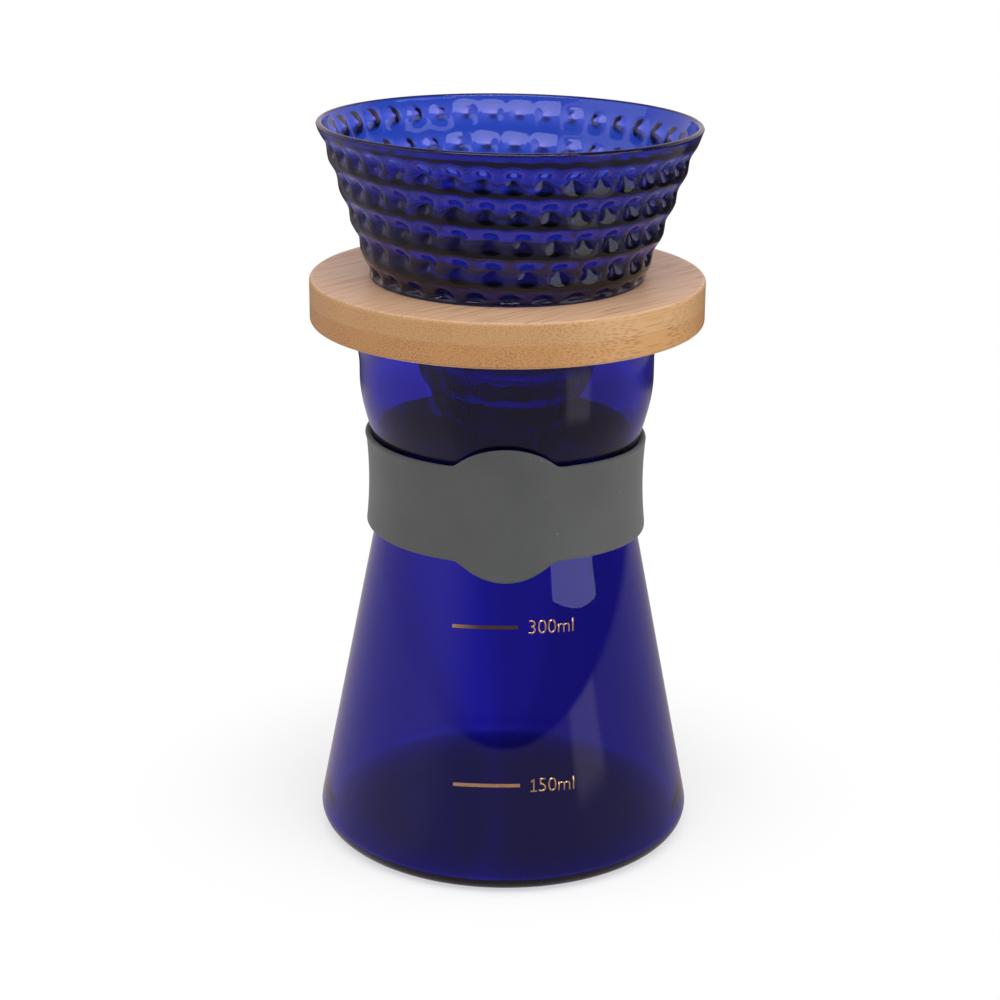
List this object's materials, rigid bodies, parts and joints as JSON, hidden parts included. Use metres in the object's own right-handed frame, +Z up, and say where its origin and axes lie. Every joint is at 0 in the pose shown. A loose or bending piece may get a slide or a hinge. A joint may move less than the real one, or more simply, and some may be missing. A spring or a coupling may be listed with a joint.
{
  "type": "pour-over coffee maker",
  "caption": "Free-standing pour-over coffee maker: waisted blue glass carafe with a silicone grip band, a bamboo collar on its rim and a hobnail glass dripper cone that lifts out.",
  "frame": {"origin": "centre of the base on the table", "axes": "+Z up along the carafe's axis; the level marks and the badge face -Y; the pour lip points to -X"},
  "size_m": [0.096, 0.096, 0.1804],
  "materials": {
    "carafe_glass": "clear cobalt blue, polished",
    "silicone": "matte grey silicone",
    "bamboo_bottom": "satin bamboo, darker ply",
    "bamboo_top": "satin bamboo",
    "dripper_glass": "clear cobalt blue, moulded",
    "gold_print": "fired gold print"
  },
  "bodies": {
    "carafe": {"carafe": "carafe_glass", "grip_band": "silicone", "mark_150ml": "gold_print", "mark_300ml": "gold_print"},
    "collar": {"collar_bottom_ply": "bamboo_bottom", "collar_top_ply": "bamboo_top"},
    "dripper": {"dripper": "dripper_glass"}
  },
  "joints": [
    {"name": "collar_lift", "type": "slide", "parent": "carafe", "child": "collar", "axis": [0, 0, 1], "range_m": [0, 0.05]},
    {"name": "dripper_lift", "type": "slide", "parent": "collar", "child": "dripper", "axis": [0, 0, 1], "range_m": [0, 0.05]}
  ]
}
